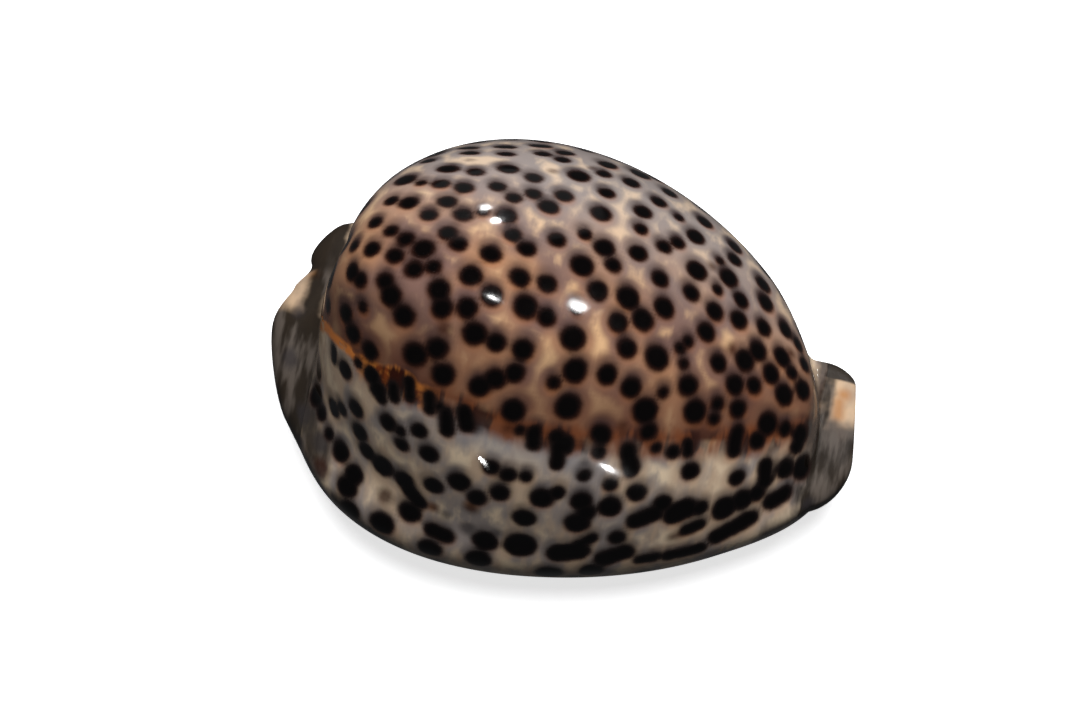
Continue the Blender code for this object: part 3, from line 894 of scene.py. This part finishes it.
class Glaze:
    """A material, with short calls for wiring up its nodes."""

    def __init__(self, name, noises):
        self.material = bpy.data.materials.new(name)
        self.material.use_nodes = True
        self.tree = self.material.node_tree
        self.shader = self.tree.nodes["Principled BSDF"]
        self.noises = {key: self.noise(*settings) for key, settings in noises.items()}

    def node(self, kind, **settings):
        made = self.tree.nodes.new(kind)
        for key, value in settings.items():
            setattr(made, key, value)
        return made

    def feed(self, socket, value):
        """Link an output to a socket, or set the socket to a number, a place or a colour."""
        if isinstance(value, bpy.types.NodeSocket):
            self.tree.links.new(value, socket)
        elif socket.type == "RGBA":
            socket.default_value = shade_of(*value)
        else:
            socket.default_value = value

    def field(self, name):
        return self.node("ShaderNodeAttribute", attribute_name=name).outputs["Fac"]

    def math(self, operation, first, second=0.0):
        made = self.node("ShaderNodeMath", operation=operation)
        self.feed(made.inputs[0], first)
        self.feed(made.inputs[1], second)
        return made.outputs[0]

    def product(self, first, *others):
        made = first
        for other in others:
            made = self.math("MULTIPLY", made, other)
        return made

    def step(self, value, edges, levels=(0.0, 1.0)):
        """A smooth step of a value, from one level to the other between the edges."""
        made = self.node("ShaderNodeMapRange", interpolation_type="SMOOTHSTEP")
        for socket, number in zip(made.inputs, (value, *edges, *levels)):
            self.feed(socket, number)
        return made.outputs[0]

    def mix(self, amount, first, second):
        made = self.node("ShaderNodeMix", data_type="RGBA")
        self.feed(made.inputs["Factor"], amount)
        self.feed(made.inputs[MIX_FIRST], first)
        self.feed(made.inputs[MIX_SECOND], second)
        return made.outputs[MIX_RESULT]

    def noise(self, size, detail, packing, shift):
        """Cloudy noise whose lumps are about size metres across."""
        spread = self.node("ShaderNodeMapping")
        self.feed(spread.inputs["Vector"], self.node("ShaderNodeTexCoord").outputs["Object"])
        self.feed(spread.inputs["Scale"], packing)
        self.feed(spread.inputs["Location"], (shift, shift, shift))
        made = self.node("ShaderNodeTexNoise")
        self.feed(made.inputs["Vector"], spread.outputs[0])
        self.feed(made.inputs["Scale"], 1.0 / size)
        self.feed(made.inputs["Detail"], detail)
        return made.outputs["Fac"]

    def two_toned(self, noise, edges, first, second):
        """Two colours that a noise mixes."""
        return self.mix(self.step(self.noises[noise], edges), first, second)

    def uneven(self, value, noise, amount):
        """A value that a noise raises and lowers, by up to half of amount."""
        centred = self.math("SUBTRACT", self.noises[noise], 0.5)
        return self.math("ADD", value, self.math("MULTIPLY", centred, amount))

    def marks(self, field, edges, strength):
        """How much of a kind of spot shows, with slightly uneven edges."""
        away = self.uneven(self.field(field), "fine", SPOT_WAVER)
        return self.step(away, edges, (0.0, strength))


def ground_layer(g, spot, on_flank):
    """The warm dome, greyer on its far side where a pale sheen is painted in, and the cream flank,
    paler between the spots.
    """
    gap = g.product(g.step(spot, GAP_EDGES), g.step(g.noises["middling"], GAP_CLOUDS))
    dome = g.mix(gap, g.two_toned(*DOME_TONES), DOME_GAP)
    far_grey_and_sheen = g.mix(gap, FAR_GREY_AND_SHEEN, FAR_GAP_AND_SHEEN)
    # Painted sheen: the far side is mixed towards its greyer, paler colours
    dome = g.mix(g.product(g.field("far_grey_and_sheen"), FAR_GREY_AND_SHEEN_STRENGTH), dome, far_grey_and_sheen)
    flank = g.mix(gap, g.two_toned(*FLANK_TONES), FLANK_GAP)
    return g.mix(on_flank, dome, flank)


def band_layer(g, colour, line):
    """The brown band above the mantle line, and the grey haze below it."""
    band = g.product(g.step(line, BAND_EDGES), g.step(g.noises["broad"], BAND_CLOUDS, BAND_LEVELS))
    band = g.product(band, g.step(line, BAND_STOPS), g.step(g.field("callus"), (1.0, 0.0)))
    colour = g.mix(band, colour, BAND_BROWN)
    haze = g.product(g.step(line, HAZE_FAR), g.step(line, HAZE_NEAR), g.field("haze"))
    return g.mix(g.product(haze, HAZE_STRENGTH), colour, HAZE_GREY)


def halo_layer(g, colour, on_flank):
    """The dark shade uphill of each spot, and the warm glow downhill."""
    clouds = g.step(g.noises["middling"], SHADE_CLOUDS, SHADE_LEVELS)
    shade = g.mix(on_flank, DOME_SHADE, FLANK_SHADE)
    colour = g.mix(g.product(g.field("shade"), clouds), colour, shade)
    glow = g.product(g.field("glow"), g.step(g.field("shade"), GLOW_FADES))
    return g.mix(glow, colour, GLOW_ORANGE)


def line_layer(g, colour, line, soft_line):
    """The mantle line: an orange thread and rusty drips at the back, then a soft ribbon."""
    drips = g.step(g.noises["drips"], DRIP_CLOUDS)
    rust = g.mix(drips, g.two_toned(*RUST_TONES), DRIP_BROWN)
    hanging = g.product(g.step(soft_line, DRIP_FAR), g.step(soft_line, DRIP_NEAR))
    colour = g.mix(g.product(hanging, g.field("drips")), colour, rust)
    off_ribbon = g.math("ABSOLUTE", g.math("ADD", soft_line, RIBBON_SHIFT))
    streaks = g.step(g.noises["streaks"], RIBBON_STREAKS, RIBBON_LEVELS)
    ribbon = g.product(g.step(off_ribbon, RIBBON_EDGES), streaks, g.field("ribbon"))
    colour = g.mix(ribbon, colour, g.mix(drips, RIBBON_BROWN, RIBBON_DARK))
    off_thread = g.math("ABSOLUTE", g.uneven(line, "middling", THREAD_WAVER))
    clouds = g.step(g.noises["fine"], THREAD_CLOUDS, THREAD_LEVELS)
    thread = g.product(g.step(off_thread, THREAD_EDGES), clouds, g.field("thread"))
    return g.mix(thread, colour, THREAD_ORANGE)


def callus_layer(g, colour):
    """The cream spouts with their stains, dark patches and darkened ends, which are partly painted
    shade, and the pale base.
    """
    colour = g.mix(g.field("callus"), colour, g.two_toned(*SPOUT_TONES))
    stain = g.step(g.field("stain"), STAIN_EDGES, (0.0, STAIN_STRENGTH))
    colour = g.mix(stain, colour, STAIN_OCHRE)
    # Dark patches: partly the shell's own dark streaks, partly painted shade on the margins and
    # spouts
    patch_dark_and_shade = g.uneven(g.field("patch_dark_and_shade"), "middling", PATCH_DARK_AND_SHADE_WAVER)
    patch_dark_and_shade = g.step(patch_dark_and_shade, PATCH_DARK_AND_SHADE_EDGES, (0.0, PATCH_DARK_AND_SHADE_STRENGTH))
    # The ends' darkening: partly their own dark markings, partly painted shade in the creases and
    # on the spouts' sides
    dark_ends_and_shade = g.uneven(g.field("dark_ends_and_shade"), "fine", DARK_ENDS_AND_SHADE_WAVER)
    dark_ends_and_shade = g.step(dark_ends_and_shade, DARK_ENDS_AND_SHADE_EDGES, (0.0, DARK_ENDS_AND_SHADE_STRENGTH))
    # Near-black on the far parts: partly their own dark colour, partly painted shade
    far_black_and_shade = g.product(g.field("far_black_and_shade"), FAR_BLACK_AND_SHADE_STRENGTH)
    dark = g.mix(far_black_and_shade, g.two_toned(*DARK_AND_SHADE_TONES), FAR_BLACK_AND_SHADE_COLOUR)
    colour = g.mix(g.math("MAXIMUM", patch_dark_and_shade, dark_ends_and_shade), colour, dark)
    return g.mix(g.field("base"), colour, g.two_toned(*BASE_TONES))


def spot_layer(g, colour, spot, on_flank):
    """The soft spots deep in the glaze, the brown ones, and the dark ones with their rims."""
    colour = g.mix(g.marks("soft", SOFT_EDGES, SOFT_STRENGTH), colour, SOFT_GREY)
    colour = g.mix(g.marks("brown", BROWN_EDGES, BROWN_STRENGTH), colour, SPOT_BROWN)
    rim = g.mix(g.field("shade"), RIM_WARM, RIM_COOL)
    rim = g.mix(g.product(on_flank, RIM_ON_FLANK_STRENGTH), rim, RIM_ON_FLANK)
    colour = g.mix(g.step(spot, RIM_EDGES), colour, rim)
    return g.mix(g.step(spot, SPOT_EDGES), colour, SPOT_BLACK)


def shell_glaze():
    """The glaze of the whole shell, layer over layer, and the lining of its hollow."""
    g = Glaze("cowrie_glaze", SHELL_NOISES)
    spot = g.uneven(g.field("spot"), "fine", SPOT_WAVER)
    line = g.field("line")
    soft_line = g.uneven(line, "middling", LINE_WAVER)
    on_flank = g.math("MAXIMUM", g.field("flank"), g.step(soft_line, FLANK_EDGES))
    colour = ground_layer(g, spot, on_flank)
    colour = band_layer(g, colour, line)
    colour = halo_layer(g, colour, on_flank)
    colour = line_layer(g, colour, line, soft_line)
    colour = callus_layer(g, colour)
    colour = spot_layer(g, colour, spot, on_flank)
    colour = g.mix(g.field("inside"), colour, g.two_toned(*LINING_TONES))
    g.feed(g.shader.inputs["Base Color"], colour)
    gloss = g.step(g.noises["fine"], GLOSS_CLOUDS, GLOSS_LEVELS)
    dullness = g.product(g.field("callus"), END_ROUGHNESS)
    g.feed(g.shader.inputs["Roughness"], g.math("ADD", gloss, dullness))
    g.feed(g.shader.inputs["Specular IOR Level"], SPECULAR)
    bump = g.node("ShaderNodeBump")
    g.feed(bump.inputs["Height"], g.noises["broad"])
    g.feed(bump.inputs["Strength"], BUMP_STRENGTH)
    g.feed(bump.inputs["Distance"], BUMP_HEIGHT)
    g.feed(g.shader.inputs["Normal"], bump.outputs["Normal"])
    return g.material


def floor_material():
    """A smooth white board with a faint cloudiness, lit a little from within."""
    g = Glaze("white_board", BOARD_NOISES)
    g.feed(g.shader.inputs["Base Color"], g.two_toned(*BOARD_TONES))
    g.feed(g.shader.inputs["Roughness"], BOARD_ROUGHNESS)
    g.feed(g.shader.inputs["Emission Color"], BOARD_GLOW)
    g.feed(g.shader.inputs["Emission Strength"], BOARD_GLOW_STRENGTH)
    return g.material


def add_object(name, data):
    made = bpy.data.objects.new(name, data)
    bpy.context.scene.collection.objects.link(made)
    return made


def add_camera():
    """The camera, at the photo's viewing angle."""
    data = bpy.data.cameras.new("camera")
    data.lens = LENS
    data.sensor_width = SENSOR
    data.sensor_fit = "HORIZONTAL"
    data.clip_start = CLIP_START
    turn = Matrix((RIGHT, UP, BACK)).transposed().to_4x4()
    camera = add_object("camera", data)
    camera.matrix_world = Matrix.Translation(EYE) @ turn
    bpy.context.scene.camera = camera


def add_floor():
    """A wide board just under the shell, which the glaze doesn't mirror."""
    half = FLOOR_HALF
    data = bpy.data.meshes.new("floor")
    corners = [(-half, -half, 0.0), (half, -half, 0.0), (half, half, 0.0), (-half, half, 0.0)]
    data.from_pydata(corners, [], [(0, 1, 2, 3)])
    data.materials.append(floor_material())
    floor = add_object("floor", data)
    floor.location.z = -FLOOR_DROP
    floor.visible_glossy = False
    floor.visible_diffuse = False


def add_lamp(name, place, aim, size, power):
    """A round lamp that faces a point."""
    data = bpy.data.lights.new(name, "AREA")
    data.shape = "DISK"
    data.size = size
    data.energy = power
    lamp = add_object(name, data)
    lamp.location = place
    lamp.rotation_euler = (Vector(place) - Vector(aim)).to_track_quat("Z", "Y").to_euler()
    return lamp


def add_lights(skin):
    """Soft light from above, a sheen on the far side, and a small lamp for each gleam."""
    world = bpy.context.scene.world or bpy.data.worlds.new("world")
    bpy.context.scene.world = world
    world.use_nodes = True
    room = world.node_tree.nodes["Background"]
    room.inputs["Color"].default_value = ROOM_COLOUR
    room.inputs["Strength"].default_value = ROOM_STRENGTH
    soft = add_lamp("soft_light", SOFT_PLACE, AIM, SOFT_SIZE, SOFT_POWER)
    soft.visible_glossy = False
    panel = add_lamp("panel", PANEL_PLACE, AIM, PANEL_SIZE, PANEL_POWER)
    panel.visible_diffuse = False
    for number, (column, row, size) in enumerate(GLEAMS):
        direction = sight_line((column, row))
        place, normal, _, _ = skin.tree.ray_cast(EYE, direction)
        bounce = direction - 2.0 * direction.dot(normal) * normal
        power = GLEAM_STRENGTH * np.pi * np.pi * (size / 2.0) ** 2
        lamp = add_lamp(f"lamp_{number + 1}", place + bounce * LAMP_DISTANCE, place, size, power)
        lamp.visible_diffuse = False


def add_shell():
    """The shell's fine skin, in place of the plain solid."""
    data, rings = shell_mesh()
    skin = Skin(data, rings)
    paint(data, skin)
    data.materials.append(shell_glaze())
    shell = add_object("cowrie_shell", data)
    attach(shell, "root")
    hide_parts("shell")
    return skin


bpy.context.scene.view_settings.view_transform = "Standard"
add_camera()
skin = add_shell()
add_floor()
add_lights(skin)
